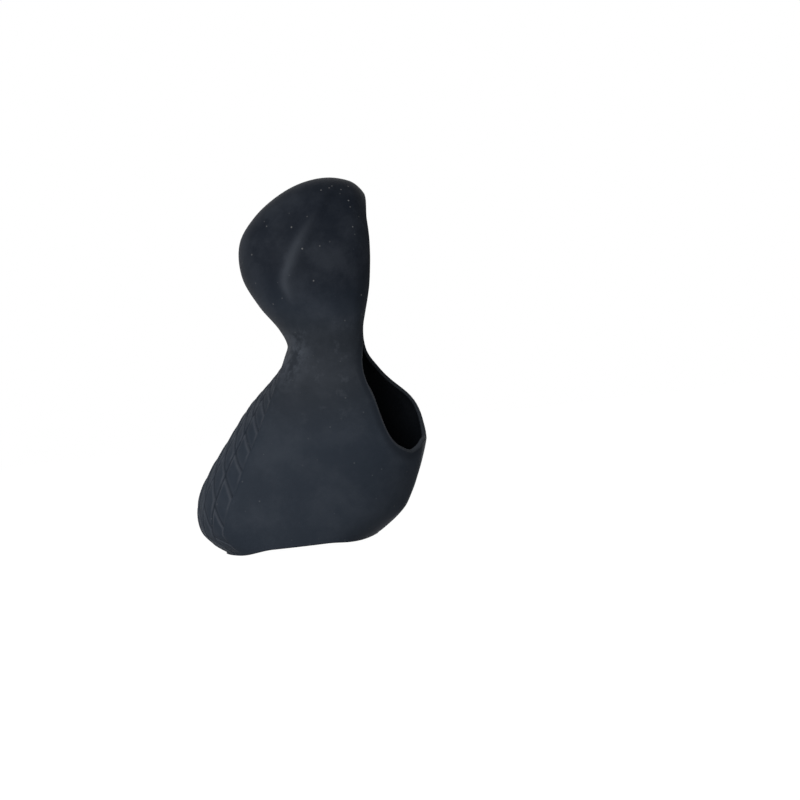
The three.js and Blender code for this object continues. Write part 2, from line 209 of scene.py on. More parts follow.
class HoodForm:
    """The closed form of the hood and the edges that are cut into it, in millimetres.

    A place (p, q) on the form is polar: its radius is the station along the hood and its angle turns
    from the palm's middle over +Y to the underside.
    """

    # Turn over which the opening's direction is measured, and how finely its edge is followed.
    edge_turn = 1 / 24
    fine_steps = 1200
    # How often the edge is evened out at the strap, between these distances from the middle.
    edge_roundings = 250
    strap_stretch = (0.66, 0.74)
    # Where the base edge starts to rise at its two ends, in millimetres, and how steeply.
    back_start, back_steepness = -14.5, 0.012
    front_start, front_steepness = 12.0, 0.014
    # The base edge lies beyond this station all round.
    body_end = 0.85
    strap_corner_spread, ridge_spread = 0.11, 0.2
    normal_step = 0.004
    halvings, angle_rounds, palm_steps = 40, 12, 200
    # The grip's upper edge is slanted, so its distance is this share of the way round to it.
    edge_slant = 0.83
    grip_fade = 0.02

    def __init__(self, sizes):
        self.sizes = sizes
        head, neck, base = (size / MM for size in (sizes.head_width, sizes.neck_width, sizes.base_width))
        palm = [(at, x, z) for at, x, z, _, _ in STATIONS]
        under = [(at, x, z) for at, _, _, x, z in STATIONS]
        self.outline = SmoothLine(both_ways(palm, under))
        halves = [(at, head / 2 * share) for at, share in HEAD_SHARES]
        halves += [(at, mixed(neck, head, share) / 2) for at, share in NECK_TO_HEAD]
        halves += [(at, mixed(neck, base, share) / 2) for at, share in NECK_TO_BASE]
        halves += [(at, base / 2 * share) for at, share in BELOW_BASE]
        self.half_width = SmoothLine(both_ways(halves, [(at, -half) for at, half in halves]))
        self.grip_from = SmoothLine([(at, np.radians(start)) for at, start, _ in GRIP_EDGES])
        self.grip_to = SmoothLine([(at, np.radians(end)) for at, _, end in GRIP_EDGES])
        self.crease_angle = SmoothLine(CREASE_PATH)
        self.strap_angle = SmoothLine(STRAP_CORNER_PATH)
        self._measure_opening()
        palm_line = self.outline(np.linspace(GRIP_START, 1.0, self.palm_steps))
        self.palm_run = np.linalg.norm(np.diff(palm_line, axis=0), axis=1).sum() / (1.0 - GRIP_START)

    def fullness(self, along, angle):
        """How much fuller than an ellipse the section is."""
        sizes = self.sizes
        share = mixed(sizes.head_fullness, sizes.base_fullness, smooth(along, *FULLNESS_TURN))
        return 1.0 + smooth(along, *FULLNESS_START) * share * np.sin(2 * angle) ** 2

    def crease(self, along, angle):
        """Height of the soft crease that parts the head's dome from its flatter sides."""
        off = (np.abs(angle) - self.crease_angle(along)[..., 0]) / self.sizes.crease_spread
        return self.sizes.crease_height / MM * hill(along, CREASE_START, CREASE_END) * np.exp(-off * off)

    def strap_corner(self, along, angle):
        """Height of the corner between the smooth side and the strap."""
        fade = hill(along, STRAP_CORNER_START, STRAP_CORNER_END)
        off = (angle - self.strap_angle(along)[..., 0]) / self.strap_corner_spread
        return self.sizes.strap_corner / MM * fade * np.exp(-off * off)

    def shoulder(self, along, angle):
        """Height of the smooth skin's swell beside the sweeping edge of the grip pattern."""
        beside = (self.grip_from(along)[..., 0] - angle) * self.half_width(along)[..., 0]
        fade = hill(along, SHOULDER_START, RELIEF_END)
        return self.sizes.shoulder / MM * fade * hill(beside, SHOULDER_RISE, SHOULDER_FALL)

    def palm_ridge(self, along, angle):
        """Height of the low ridge down the palm's middle, from the neck to the base."""
        fade = hill(along, RIDGE_START, RELIEF_END)
        return self.sizes.ridge_height / MM * fade * np.exp(-((angle / self.ridge_spread) ** 2))

    def point(self, p, q):
        """Points of the form at places."""
        along, angle = np.hypot(p, q), np.arctan2(q, p)
        palm, under = self.outline(along), self.outline(-along)
        full = self.fullness(along, angle)
        side = (palm + under) / 2 + (palm - under) / 2 * (np.cos(angle) * full)[..., None]
        sway = self.sizes.base_sway / MM * smooth(along, *SWAY_TURN)
        across = sway + self.half_width(along)[..., 0] * np.sin(angle) * full
        return np.stack([side[..., 0], across, side[..., 1]], axis=-1)

    def normal(self, p, q):
        """Outward directions of the form at places."""
        step = self.normal_step
        along_p = self.point(p + step, q) - self.point(p - step, q)
        along_q = self.point(p, q + step) - self.point(p, q - step)
        return unit(np.cross(along_q, along_p))

    def place_of(self, x, z, sign):
        """The place whose side view is x, z, on the side given by sign."""
        low, high = 0.02, LAST_STATION
        for _ in range(self.halvings):
            middle = (low + high) / 2
            palm, under = self.outline(middle), self.outline(-middle)
            cross = (under[0] - palm[0]) * (z - palm[1]) - (under[1] - palm[1]) * (x - palm[0])
            low, high = (low, middle) if cross > 0 else (middle, high)
        palm, under = self.outline(low), self.outline(-low)
        share = (x - (palm[0] + under[0]) / 2) / ((palm[0] - under[0]) / 2)
        angle = np.pi / 2
        for _ in range(self.angle_rounds):
            angle = np.arccos(np.clip(share / self.fullness(low, angle), -1, 1))
        return np.array([low * np.cos(angle), sign * low * np.sin(angle)])

    def _opening_knots(self):
        """Places down the grip's side of the opening and back up its smooth side."""
        middles = [np.array([-abs(self.place_of(x, z, 1)[0]), 0.0]) for x, z in (ARCH_TOP, STRAP_TOP)]
        far = [self.place_of(x, z, 1) for x, z in GRIP_SIDE_EDGE]
        near = [self.place_of(x, z, -1) for x, z in reversed(SMOOTH_SIDE_EDGE)]
        return np.array([middles[0], *far, middles[1], *near])

    def _measure_opening(self):
        """Runs a closed curve through the opening's edge and measures its length."""
        knots = self._opening_knots()
        count = len(knots)
        at = np.arange(self.fine_steps) * count / self.fine_steps
        i = at.astype(int)
        t = (at - i)[:, None]
        a, b, c, d = (knots[(i + k) % count] for k in (-1, 0, 1, 2))
        leave, arrive = (c - a) / 2, (d - b) / 2
        curve = (2 * b - 2 * c + leave + arrive) * t**3 + (3 * c - 3 * b - 2 * leave - arrive) * t**2
        curve += leave * t + b
        rounded = curve
        for _ in range(self.edge_roundings):
            rounded = (np.roll(rounded, 1, axis=0) + 2 * rounded + np.roll(rounded, -1, axis=0)) / 4
        near_strap = smooth(np.hypot(curve[:, 0], curve[:, 1]), *self.strap_stretch)
        curve = mixed(curve, rounded, near_strap[:, None])
        self.opening = np.vstack([curve, curve[:1]])
        points = self.point(self.opening[:, 0], self.opening[:, 1])
        steps = np.linalg.norm(np.diff(points, axis=0), axis=1)
        self.opening_lengths = np.concatenate([[0.0], np.cumsum(steps)])
        strap_step = round((len(GRIP_SIDE_EDGE) + 1) / count * self.fine_steps)
        self.half_way = self.opening_lengths[strap_step]

    def opening_places(self, turns):
        """Places on the opening's edge at turns from 0, the arch's top, over +Y to 1."""
        turns = turns % 1.0
        total = self.opening_lengths[-1]
        lead = self.sizes.column_lead * np.sin(2 * np.pi * turns)
        far = (2 * turns + lead) * self.half_way
        near = total - (2 - 2 * turns - lead) * (total - self.half_way)
        goal = np.clip(np.where(turns < 0.5, far, near), 0.0, total)
        return np.stack(
            [np.interp(goal, self.opening_lengths, self.opening[:, k]) for k in (0, 1)], axis=-1
        )

    def edge_height(self, x, y):
        """Height of the base edge, which is flat in the middle and rises at both ends and a
        little on the smooth side."""
        back = self.back_steepness * np.maximum(self.back_start - x, 0) ** 2
        front = self.front_steepness * np.maximum(x - self.front_start, 0) ** 2
        side = smooth(-y, *SIDE_RISE_ACROSS) * hill(x, SIDE_RISE_START, SIDE_RISE_END)
        return back + front + self.sizes.side_rise / MM * side

    def base_places(self, angles, above):
        """Places a given height above the base edge, at angles round the palm's middle."""
        low, high = np.full(angles.shape, self.body_end), np.full(angles.shape, LAST_STATION)
        for _ in range(self.halvings):
            middle = (low + high) / 2
            point = self.point(middle * np.cos(angles), middle * np.sin(angles))
            over = point[..., 2] > self.edge_height(point[..., 0], point[..., 1]) + above
            low, high = np.where(over, middle, low), np.where(over, high, middle)
        return np.stack([low * np.cos(angles), low * np.sin(angles)], axis=-1)

    def grid_places(self, turns, shares, above):
        """Places of a grid, with a column for each turn and a row for each share of the way from
        the opening's edge to the base. Columns leave and arrive at right angles to the edges."""
        start = self.opening_places(turns)
        end = self.base_places(2 * np.pi * turns, above)
        before = self.opening_places(turns - self.edge_turn)
        after = self.opening_places(turns + self.edge_turn)
        outward = unit(np.stack([after[:, 1] - before[:, 1], before[:, 0] - after[:, 0]], axis=-1))
        reach = np.linalg.norm(end - start, axis=1, keepdims=True) * self.sizes.column_reach
        leave = start + outward * reach
        arrive = end * (1 - reach / np.linalg.norm(end, axis=1, keepdims=True))
        t = shares[:, None, None]
        grid = (1 - t) ** 3 * start + 3 * (1 - t) ** 2 * t * leave
        grid = grid + 3 * (1 - t) * t**2 * arrive + t**3 * end
        return grid[..., 0], grid[..., 1]

    def grip_fields(self, p, q):
        """What the grip pattern needs to know at each place: how far across it is in columns, how
        far down the palm, the width of a column, the distance from its upper edge and whether the
        place is inside it or at its tip."""
        sizes = self.sizes
        along, angle = np.hypot(p, q), np.arctan2(q, p)
        inside_from, inside_to = self.grip_from(along)[..., 0], self.grip_to(along)[..., 0]
        half = np.maximum(self.half_width(along)[..., 0], 1.0)
        step = sizes.grip_step / MM
        mask = smooth((angle - inside_from) * half, 0, step) * smooth((inside_to - angle) * half, 0, step)
        from_edge = (angle - inside_from) * half * self.edge_slant
        return {
            "grip_across": (angle - inside_from) / (inside_to - inside_from) * sizes.grip_columns,
            "grip_down": (along - GRIP_START) * self.palm_run,
            "grip_width": half * (inside_to - inside_from) / sizes.grip_columns,
            "grip_mask": mask * smooth(along, GRIP_START, GRIP_START + self.grip_fade),
            "grip_from_edge": from_edge,
            "grip_tip": (1 - smooth(along, *TIP_END)) * (1 - smooth(from_edge, *TIP_FALL)),
        }


def crowded(count, weight):
    """Shares from 0 to 1, closer together where the weight is higher."""
    fine = np.linspace(0.0, 1.0, 4000)
    reached = np.concatenate([[0.0], np.cumsum(weight(fine)[1:])])
    return np.interp(np.linspace(0.0, reached[-1], count), reached, fine)


def skin_rows(form, turns, shares):
    """Outer points of the wall, with their inner points and everything the finish reads. The wall
    turns level towards the base, and the head's edge curls in at the opening."""
    sizes = form.sizes
    p, q = form.grid_places(turns, shares, sizes.base_rounding / MM)
    along, angle = np.hypot(p, q), np.arctan2(q, p)
    normal = form.normal(p, q)
    lift = form.crease(along, angle) + form.palm_ridge(along, angle)
    lift = lift + form.strap_corner(along, angle) + form.shoulder(along, angle)
    bare = form.point(p, q) + normal * lift[..., None]
    steps = np.linalg.norm(np.diff(bare, axis=0), axis=-1)
    from_edge = np.vstack([np.zeros((1, len(turns))), np.cumsum(steps, axis=0)])
    lip_width = sizes.lip_width / MM
    curl = np.maximum(1 - from_edge / lip_width, 0) ** 1.5 * (1 - smooth(along, *LIP_END))
    thickness = mixed(sizes.opening_edge / MM, sizes.wall / MM, smooth(from_edge, 0, lip_width))
    level = smooth(shares, 0.8, 1.0)[:, None, None]
    flat = unit(normal * np.array([1.0, 1.0, 0.0]))
    inward = unit(mixed(-normal, -flat, level))
    outer = bare - normal * (sizes.lip_depth / MM * curl)[..., None]
    inner = outer + inward * thickness[..., None]
    fields = form.grip_fields(p, q)
    fields["station"] = along
    fields["from_opening"] = from_edge
    fields["palm_side"] = hill(angle, PATCH_SIDE_START, PATCH_SIDE_END)
    # Marks the crease for its painted highlight.
    fields["ridge_highlight_inside_shade"] = form.crease(along, angle) / max(sizes.crease_height / MM, 1e-6)
    return outer, inner, fields


def rounded_edge(outer, inner, away, bulge, count):
    """Rows that run round from the last outer point to the inner one, over a rounded edge."""
    middle, half = (outer + inner) / 2, (outer - inner) / 2
    turn = np.linspace(0, np.pi, count + 2)[1:-1, None, None]
    return middle + half * np.cos(turn) + away * bulge * np.sin(turn)


class Value:
    """A number in a node tree, so that node maths can be written as plain sums."""

    def __init__(self, tree, socket):
        self.tree, self.socket = tree, socket

    def math(self, operation, *values):
        links = {0: self, **{i + 1: value for i, value in enumerate(values)}}
        return self.tree.value("ShaderNodeMath", {"operation": operation}, links)

    def __add__(self, other):
        return self.math("ADD", other)

    def __mul__(self, other):
        return self.math("MULTIPLY", other)

    __radd__, __rmul__ = __add__, __mul__

    def __sub__(self, other):
        return self.math("SUBTRACT", other)

    def __rsub__(self, other):
        return self * -1.0 + other

    def __truediv__(self, other):
        return self.math("DIVIDE", other)

    def __pow__(self, other):
        return self.math("POWER", other)

    def least(self, other):
        return self.math("MINIMUM", other)

    def most(self, other):
        return self.math("MAXIMUM", other)

    def fraction(self):
        return self.math("FRACT")

    def rise(self, low, high):
        """Rises smoothly from 0 to 1 as this goes from low to high."""
        return self.tree.value(
            "ShaderNodeMapRange",
            {"interpolation_type": "SMOOTHSTEP"},
            {"Value": self, "From Min": low, "From Max": high},
        )


class Tree:
    """Adds nodes to a node tree and links them."""

    def __init__(self, tree):
        self.tree = tree

    def feed(self, socket, value):
        """Links a socket to another one, or sets its value."""
        if isinstance(value, Value):
            value = value.socket
        if isinstance(value, bpy.types.NodeSocket):
            self.tree.links.new(value, socket)
        else:
            socket.default_value = value

    def node(self, kind, settings=None, links=None):
        """A new node with its settings, then the values or links of its sockets."""
        made = self.tree.nodes.new(kind)
        for name, setting in (settings or {}).items():
            setattr(made, name, setting)
        for key, value in (links or {}).items():
            self.feed(made.inputs[key], value)
        return made

    def value(self, kind, settings=None, links=None, output=0):
        """The number that a new node gives."""
        return Value(self, self.node(kind, settings, links).outputs[output])

    def mix(self, share, a, b):
        """A colour the given share of the way from a to b."""
        made = self.node("ShaderNodeMix", {"data_type": "RGBA"})
        sockets = {s.name: s for s in made.inputs if s.enabled}
        for name, value in (("Factor", share), ("A", a), ("B", b)):
            self.feed(sockets[name], value)
        return next(s for s in made.outputs if s.enabled)


def material_tree(name):
    """A new material and its emptied node tree."""
    material = bpy.data.materials.new(name)
    material.use_nodes = True
    material.node_tree.nodes.clear()
    return material, Tree(material.node_tree)


GRIP_SIZES = (
    "First Scale",
    "Growth",
    "Slant",
    "Groove Width",
    "Groove Depth",
    "Tilt",
    "Recess",
    "Line Spacing",
    "Line Depth",
)
# Rounding of a scale's corners, half the flat bottom of a groove and the side of a fine line, in mm.
SCALE_ROUNDING = 0.35
GROOVE_BOTTOM = 0.05
LINE_SIDE = 0.34
# Shares of the tilt: at a scale's upper corner, then what is lost down it and across it.
LEAN_TOP, LEAN_DOWN, LEAN_ACROSS = 0.55, 0.75, 0.35


def grip_relief_group():
    """An empty group of geometry nodes with a socket for each size of the grip pattern."""
    group = bpy.data.node_groups.new("grip_relief", "GeometryNodeTree")
    for way in ("INPUT", "OUTPUT"):
        group.interface.new_socket("Geometry", in_out=way, socket_type="NodeSocketGeometry")
    for name in GRIP_SIZES:
        group.interface.new_socket(name, in_out="INPUT", socket_type="NodeSocketFloat")
    group.interface.new_socket("Material", in_out="INPUT", socket_type="NodeSocketMaterial")
    return group


def grip_relief_tree():
    """Geometry nodes that raise the slanted scales of the grip pattern and cut its grooves."""
    group = grip_relief_group()
    tree = Tree(group)
    given = tree.node("NodeGroupInput")
    first, growth, slant, groove, depth, tilt, recess, spacing, line_depth = (
        Value(tree, given.outputs[name]) for name in GRIP_SIZES
    )

    def field(name):
        return tree.value("GeometryNodeInputNamedAttribute", {"data_type": "FLOAT"}, {"Name": name})

    across, down, width = field("grip_across"), field("grip_down"), field("grip_width")
    mask, from_edge, tip = field("grip_mask"), field("grip_from_edge"), field("grip_tip")

    # A scale's own coordinates: beside runs over its column, below down its row. Rows grow downwards.
    beside = across.fraction()
    slanted = (down + slant * width * (beside - 0.5)).most(0.0)
    log_growth = growth.math("LOGARITHM", np.e)
    row = (slanted * (growth - 1.0) / first + 1.0).math("LOGARITHM", np.e) / log_growth
    below = row.fraction()
    pitch = first * growth ** row * log_growth / (growth - 1.0)

    # The nearest groove, and the tilted scale between the grooves.
    column_gap = beside.least(1.0 - beside) * width
    row_gap = below.least(1.0 - below) * pitch / (slant * slant + 1.0).math("SQRT")
    gap = column_gap.math("SMOOTH_MIN", row_gap, SCALE_ROUNDING)
    raised = gap.rise(GROOVE_BOTTOM, groove * 0.5 + GROOVE_BOTTOM)
    lean = tilt * (LEAN_TOP - below * LEAN_DOWN - beside * LEAN_ACROSS)
    scale = lean * raised - depth * (1.0 - raised)

    # The fine lines that follow the upper edge at the pattern's tip.
    line = (from_edge / spacing).fraction()
    line_gap = line.least(1.0 - line) * spacing
    between = line_gap.rise(GROOVE_BOTTOM, LINE_SIDE)
    lines = (between - 1.0) * line_depth

    # Marks for painted light: the grooves and fine lines are marked for painted shade, and the scales' upper
    # edges and the skin beside each fine line for painted highlights, as where light catches them.
    height = mask * (scale * (1.0 - tip) + lines * tip - recess)
    groove_mark = mask * ((1.0 - raised) * (1.0 - tip) + (1.0 - between) * tip)
    edge_line = raised * (1.0 - gap.rise(0.4, 0.75)) * (1.0 - below.rise(0.35, 0.6) * 0.7)
    edge_highlight_mark = mask * (edge_line * (1.0 - tip) + between * (1.0 - line.rise(0.3, 0.6)) * tip)

    normal = tree.node("GeometryNodeInputNormal").outputs[0]
    lift = {0: normal, "Scale": height * MM}
    offset = tree.node("ShaderNodeVectorMath", {"operation": "SCALE"}, lift).outputs[0]
    skin = given.outputs["Geometry"]
    for name, mark in (("groove", groove_mark), ("edge_highlight", edge_highlight_mark)):
        skin = tree.node(
            "GeometryNodeStoreNamedAttribute",
            {"data_type": "FLOAT", "domain": "POINT"},
            {"Geometry": skin, "Name": name, "Value": mark},
        ).outputs[0]
    raised_skin = tree.node("GeometryNodeSetPosition", None, {"Geometry": skin, "Offset": offset})
    whole = tree.node("GeometryNodeRealizeInstances", None, {0: raised_skin.outputs[0]})
    dressing = {"Geometry": whole.outputs[0], "Material": given.outputs["Material"]}
    dressed = tree.node("GeometryNodeSetMaterial", None, dressing)
    tree.node("NodeGroupOutput", None, {0: dressed.outputs[0]})
    return group


class RubberFinish:
    """Builds the nodes of the matte blue-black rubber with its dust, mottling and scuffs, and with painted
    highlights and painted shade on its edges, grooves and inside.
    """

    # Sizes of the specks' cells and of the noises, as how many fit in a metre.
    mottle_scale, scuff_scale, patch_scale, speck_scale = 70.0, 240.0, 260.0, 420.0
    fine_grain_scale, coarse_grain_scale = 3200.0, 900.0
    grain_strength, grain_depth = 0.12, 0.0002

    def __init__(self, finish):
        self.finish = finish
        self.material, self.tree = material_tree("hood_rubber")
        self.place = self.tree.node("ShaderNodeTexCoord").outputs["Object"]
        self.station = self.mark("station")
        self.from_opening = self.mark("from_opening")
        self.head = 1.0 - self.station.rise(0.3, 0.5)
        self.waist = self.station.rise(0.4, 0.52) * (1.0 - self.station.rise(0.6, 0.82))

    def noise(self, scale, detail, roughness=0.5):
        links = {"Vector": self.place, "Scale": scale, "Detail": detail, "Roughness": roughness}
        return self.tree.value("ShaderNodeTexNoise", None, links, "Fac")

    def mark(self, name):
        """A number that the hood's mesh carries."""
        return self.tree.value("ShaderNodeAttribute", {"attribute_name": name}, None, "Fac")

    def bare_rubber(self, mottle):
        """Colour of the rubber on the head, the waist and the body, with its faint mottling."""
        tree, finish = self.tree, self.finish
        colour = tree.mix(self.head, finish.body_colour, finish.head_colour)
        colour = tree.mix(self.waist * 0.6, colour, finish.waist_colour)
        return tree.mix(mottle * 0.22, colour, finish.bloom_and_highlight_colour)

    def scuffed(self, colour):
        """The colour with a lighter blotchy patch above the grip pattern and scuffs all over."""
        tree, bloom = self.tree, self.finish.bloom_and_highlight_colour
        above_grip = self.station.rise(0.47, 0.53) * (1.0 - self.station.rise(0.55, 0.7))
        lighter_patch = above_grip * self.mark("palm_side")
        lighter_patch = lighter_patch * self.noise(self.patch_scale, 4.0, 0.7).rise(0.38, 0.62)
        colour = tree.mix(lighter_patch * 0.7, colour, bloom)
        scuff = self.noise(self.scuff_scale, 3.0, 0.7).rise(0.56, 0.74) * (self.waist * 0.8 + 0.2)
        return tree.mix(scuff * 0.25, colour, bloom)

    def edged(self, colour, groove, edge_highlight):
        """The colour with painted shade in the grooves, painted highlights on the scales' edges and along
        the crease, and painted shade inside.
        """
        tree, finish = self.tree, self.finish
        # Painted shade at the bottom of the grooves and fine lines.
        colour = tree.mix(groove * 0.55, colour, finish.groove_shade_colour)
        # Painted highlights on the scales' upper edges and beside the fine lines.
        colour = tree.mix(edge_highlight * 0.6, colour, finish.bloom_and_highlight_colour)
        # Painted highlight along the head's crease, where the ridge catches the light.
        ridge = self.mark("ridge_highlight_inside_shade")
        painted_crease_highlight = ridge.most(0.0) * self.station.rise(0.15, 0.3) * (1.0 - self.station.rise(0.36, 0.43))
        colour = tree.mix(painted_crease_highlight * 0.42, colour, finish.bloom_and_highlight_colour)
        # On the inside of the wall the ridge is marked -1, and there the inside is painted near black as
        # shade.
        return tree.mix((ridge * -1.0).rise(0.4, 1.0) * 0.85, colour, finish.inner_shade_colour)

    def rimmed(self, colour):
        """The colour with a painted highlight in a thin line at the opening's edge, where it catches the
        light, and painted shade in a darker band beside it.
        """
        tree, finish = self.tree, self.finish
        # Painted shade in a band beside the opening's edge.
        rim_shade_band = (1.0 - self.from_opening.rise(0.8, 3.5)) * self.station.rise(0.34, 0.5)
        colour = tree.mix(rim_shade_band * 0.55, colour, finish.groove_shade_colour)
        # Painted highlight along the opening's cut edge.
        rim = (1.0 - self.from_opening.rise(0.0, 0.4)) * self.station.rise(0.4, 0.55)
        return tree.mix(rim * 0.4, colour, finish.rim_highlight_colour)

    def specks(self):
        """Where dust lies: small dots in some of the cells, most of them on the head."""
        links = {"Vector": self.place, "Scale": self.speck_scale}
        cell = self.tree.node("ShaderNodeTexVoronoi", {"feature": "F1"}, links)
        pick = self.tree.value("ShaderNodeSeparateColor", None, {0: cell.outputs["Color"]})
        near = 1.0 - Value(self.tree, cell.outputs["Distance"]).rise(0.05, 0.14)
        return near * (1.0 - pick.rise(0.3, 0.5)) * (self.head * 0.75 + 0.25)

    def grain(self):
        """Direction of the skin with the fine grain of the mould."""
        fine, coarse = self.noise(self.fine_grain_scale, 2.0), self.noise(self.coarse_grain_scale, 2.0)
        height = fine + coarse * 0.6
        links = {"Strength": self.grain_strength, "Distance": self.grain_depth, "Height": height}
        return self.tree.node("ShaderNodeBump", None, links).outputs[0]

    def build(self):
        """Links everything to the shader and gives the material."""
        groove, edge_highlight = self.mark("groove"), self.mark("edge_highlight")
        mottle = self.noise(self.mottle_scale, 5.0, 0.6).rise(0.4, 0.7)
        colour = self.scuffed(self.bare_rubber(mottle))
        colour = self.rimmed(self.edged(colour, groove, edge_highlight))
        speck = self.specks()
        colour = self.tree.mix(speck * 0.42, colour, self.finish.dust_colour)
        roughness = mottle * 0.06 + speck * 0.2 + groove * 0.1 - edge_highlight * 0.06 + self.finish.roughness
        links = {
            "Base Color": colour,
            "Roughness": roughness,
            "Normal": self.grain(),
            "Specular IOR Level": self.finish.shine,
        }
        shader = self.tree.node("ShaderNodeBsdfPrincipled", None, links)
        self.tree.node("ShaderNodeOutputMaterial", None, {"Surface": shader.outputs[0]})
        return self.material


def length_property(name, description, default):
    """A length that the user can change."""
    return bpy.props.FloatProperty(
        name=name, description=description, default=default, unit="LENGTH", subtype="DISTANCE"
    )


def number_property(name, description, default):
    """A share, a count of times or a slope that the user can change."""
    return bpy.props.FloatProperty(name=name, description=description, default=default)


def share_property(name, description, default):
    """A share from 0 to 1 that the user can change."""
    return bpy.props.FloatProperty(
        name=name, description=description, default=default, min=0.0, max=1.0, subtype="FACTOR"
    )


def power_property(name, description, default):
    """A lamp's power that the user can change."""
    return bpy.props.FloatProperty(name=name, description=description, default=default, unit="POWER")


def colour_property(name, description, default):
    """A colour that the user can change."""
    solid = (*default, 1.0)
    return bpy.props.FloatVectorProperty(
        name=name, description=description, default=solid, size=4, subtype="COLOR", min=0.0, max=1.0
    )


class HoodSizes(bpy.types.PropertyGroup):
    """Sizes of the hood."""

    head_width: length_property("Head width", "Width across the head", 0.0352)
    neck_width: length_property("Neck width", "Width across the neck", 0.0278)
    base_width: length_property("Base width", "Width across the base", 0.0346)
    base_sway: length_property("Base sway", "How far the base leans to +Y", 0.0018)
    wall: length_property("Wall", "Rubber thickness over the body", 0.0019)
    opening_edge: length_property("Opening edge", "Rubber thickness at the lever opening", 0.0014)
    base_rounding: length_property("Base rounding", "Height of the base edge's rounding", 0.0003)
    side_rise: length_property("Side rise", "Rise of the base edge on the smooth side", 0.001)
    lip_depth: length_property("Lip depth", "How deep the head's edge curls in", 0.0013)
    lip_width: length_property("Lip width", "Width of the stretch that curls in", 0.0055)
    head_fullness: number_property(
        "Head fullness", "How much fuller than an ellipse the head's section is", 0.035
    )
    base_fullness: number_property(
        "Base fullness", "How much fuller than an ellipse the base's section is", 0.05
    )
    crease_height: length_property("Crease height", "Height of the crease on the head's sides", 0.0008)
    crease_spread: number_property("Crease spread", "Half width of that crease, in radians", 0.085)
    ridge_height: length_property("Palm ridge", "Height of the ridge down the palm", 0.0005)
    strap_corner: length_property("Strap corner", "Height of the corner between side and strap", 0.0005)
    shoulder: length_property("Shoulder", "Swell of the smooth skin beside the grip pattern", 0.00035)
    column_lead: number_property("Column lead", "How far mesh columns lean towards the strap", 0.06)
    column_reach: number_property("Column reach", "How far mesh columns leave the edges straight", 0.25)
    grip_columns: bpy.props.IntProperty(
        name="Grip columns", description="Columns of scales side by side", default=8, min=1
    )
    grip_step: length_property("Grip step", "Width of the step down into the grip pattern", 0.0005)
    grip_recess: length_property("Grip recess", "Depth of the grip pattern below the smooth skin", 0.0003)
    first_scale: length_property("First scale", "Height of the topmost row of scales", 0.0022)
    scale_growth: number_property("Scale growth", "Height of each row over the one above it", 1.12)
    scale_slant: number_property("Scale slant", "Rise of a scale's ends over its width", 1.8)
    scale_tilt: length_property("Scale tilt", "How much a scale sinks from end to end", 0.0003)
    groove_width: length_property("Groove width", "Width of the grooves between scales", 0.0005)
    groove_depth: length_property("Groove depth", "Depth of the grooves between scales", 0.0003)
    line_spacing: length_property("Line spacing", "Distance of the fine lines at the tip", 0.0013)
    line_depth: length_property("Line depth", "Depth of the fine lines at the tip", 0.00022)


class HoodFinish(bpy.types.PropertyGroup):
    """Colours and gloss of the rubber."""

    body_colour: colour_property("Body", "Rubber over the base", (0.019, 0.0245, 0.0335))
    head_colour: colour_property("Head", "Rubber over the head", (0.0075, 0.0098, 0.0145))
    waist_colour: colour_property("Waist", "Rubber round the waist", (0.0155, 0.0175, 0.0205))
    # Real bloom and scuffs, and also the colour of the painted highlights on the scale edges and along the
    # crease.
    bloom_and_highlight_colour: colour_property("Bloom", "Pale bloom and scuffs", (0.055, 0.062, 0.075))
    # Painted shade: the colour of the grooves' bottoms and of the band beside the opening's edge.
    groove_shade_colour: colour_property("Grooves", "Bottom of the grooves", (0.007, 0.009, 0.013))
    # Painted shade: the inside is painted near black.
    inner_shade_colour: colour_property("Inside", "Inside of the hood", (0.002, 0.0024, 0.003))
    # Painted highlight: a thin light line along the opening's edge.
    rim_highlight_colour: colour_property("Rim", "Edge of the lever opening", (0.05, 0.055, 0.062))
    dust_colour: colour_property("Dust", "Specks of dust", (0.24, 0.24, 0.24))
    roughness: share_property("Roughness", "Roughness of clean rubber", 0.56)
    shine: share_property("Shine", "Strength of its reflections", 0.03)


class StudioSettings(bpy.types.PropertyGroup):
    """The floor, the lights and the camera."""

    floor_colour: colour_property("Floor", "Colour of the floor and backdrop", (0.92, 0.92, 0.92))
    floor_size: length_property("Floor size", "Side of the square floor", 6.0)
    shadow: share_property("Shadow", "How much of the hood's shadow shows", 0.06)
    world_light: number_property("Room light", "Strength of the even light from all round", 0.14)
    key_power: power_property("Key light", "Power of the large lamp, upper left of the camera", 5.6)
    fill_power: power_property("Fill light", "Power of the lamp right of the camera", 0.05)
    back_power: power_property("Back light", "Power of the lamp over and behind the hood", 0.05)
    camera_distance: length_property("Camera distance", "From the camera to the hood's middle plane", 0.6)
    camera_roll: bpy.props.FloatProperty(
        name="Camera roll", description="How far the camera leans", default=np.radians(6.5), unit="ROTATION",
        subtype="ANGLE",
    )
    view_width: length_property("View width", "Width of the picture at the hood", 0.2236)


class LeverHoodProject(bpy.types.PropertyGroup):
    """Everything that can be set."""

    sizes: bpy.props.PointerProperty(type=HoodSizes, name="Sizes", description="Sizes of the hood")
    finish: bpy.props.PointerProperty(type=HoodFinish, name="Finish", description="Finish of the rubber")
    studio: bpy.props.PointerProperty(
        type=StudioSettings, name="Studio", description="Floor, lights and camera"
    )


# Columns and rows of the skin's mesh, and the points that round its two edges.
SKIN_COLUMNS, OUTER_ROWS, INNER_ROWS = 248, 300, 60
BASE_EDGE_ROWS, OPENING_EDGE_ROWS = 7, 5
# Angles from the palm's middle between which the columns stand closer, and how much closer.
GRIP_SPAN = (-56, 82)
GRIP_CROWDING = 3.4
GRIP_MARGIN = 0.03
# Bulge of the opening's rounded edge, as a share of its thickness.
EDGE_BULGE = 0.4
# The inside is at least this far from the opening's edge, for the finish.
INSIDE_OFFSET = 5.0


